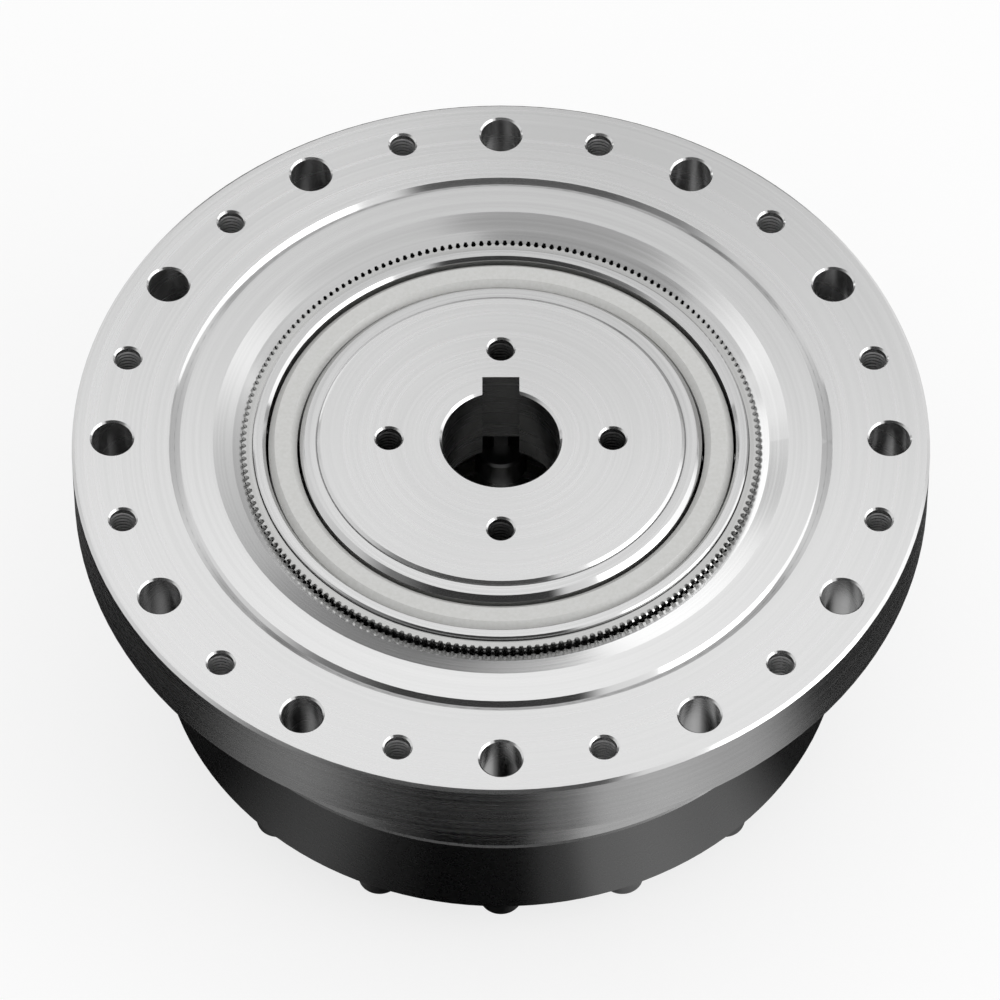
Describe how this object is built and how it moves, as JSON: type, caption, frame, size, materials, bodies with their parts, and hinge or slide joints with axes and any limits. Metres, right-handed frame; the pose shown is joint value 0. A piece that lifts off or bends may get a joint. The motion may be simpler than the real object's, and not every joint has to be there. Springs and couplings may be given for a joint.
{
  "type": "strain wave gearbox",
  "caption": "Round flanged strain wave gear unit: a keyed oval wave generator turns in a toothed cup inside a housing, and drives an output flange on a crossed roller bearing.",
  "frame": {"origin": "centre of the input face of the flange, which is also the centre of its bolt circle", "axes": "+Z out of the input face along the gear axis, +Y towards the keyway, +X along the long axis of the wave generator's oval"},
  "size_m": [0.138, 0.138, 0.062],
  "materials": {
    "turned_steel": "fine turned",
    "plug_steel": "fine turned",
    "output_steel": "ground",
    "flexspline_steel": "ground",
    "race_steel": "ground and polished",
    "rolling_steel": "polished",
    "cage_steel": "pressed sheet",
    "cage_polymer": "moulded",
    "black_oxide": "satin black oxide",
    "black_screws": "black oxide",
    "seal_rubber": "moulded",
    "spring_wire": "drawn wire"
  },
  "bodies": {
    "housing": {"flange_housing": "turned_steel", "circular_spline": "turned_steel", "spline_screws": "black_screws", "bearing_ring_upper": "black_oxide", "bearing_ring_lower": "black_oxide", "bearing_screws": "black_screws", "housing_o_ring": "seal_rubber", "oil_seal": "seal_rubber", "seal_garter_spring": "spring_wire"},
    "output": {"output_flange": "output_steel", "flexspline": "flexspline_steel", "flexspline_clamp_ring": "output_steel", "flexspline_screws": "black_screws", "flexspline_dowel_pins": "rolling_steel"},
    "wave_generator": {"wave_generator_plug": "plug_steel", "wave_bearing_inner_race": "race_steel", "wave_bearing_balls": "rolling_steel", "wave_bearing_cage": "cage_polymer", "wave_bearing_outer_race": "race_steel"},
    "roller_train": {"cross_rollers": "rolling_steel", "roller_cage": "cage_steel"}
  },
  "joints": [
    {"name": "output_spin", "type": "hinge", "parent": "housing", "child": "output", "pos_m": [0, 0, -0.042], "axis": [0, 0, 1], "continuous": true},
    {"name": "input_spin", "type": "hinge", "parent": "output", "child": "wave_generator", "pos_m": [0, 0, -0.0075], "axis": [0, 0, 1], "continuous": true, "deforming": ["flexspline"]},
    {"name": "roller_train_spin", "type": "hinge", "parent": "housing", "child": "roller_train", "pos_m": [0, 0, -0.042], "axis": [0, 0, 1], "continuous": true}
  ],
  "couplings": [
    {"joint": "output_spin", "follows": "input_spin", "ratio": -0.009901},
    {"joint": "roller_train_spin", "follows": "input_spin", "ratio": -0.0049505}
  ]
}
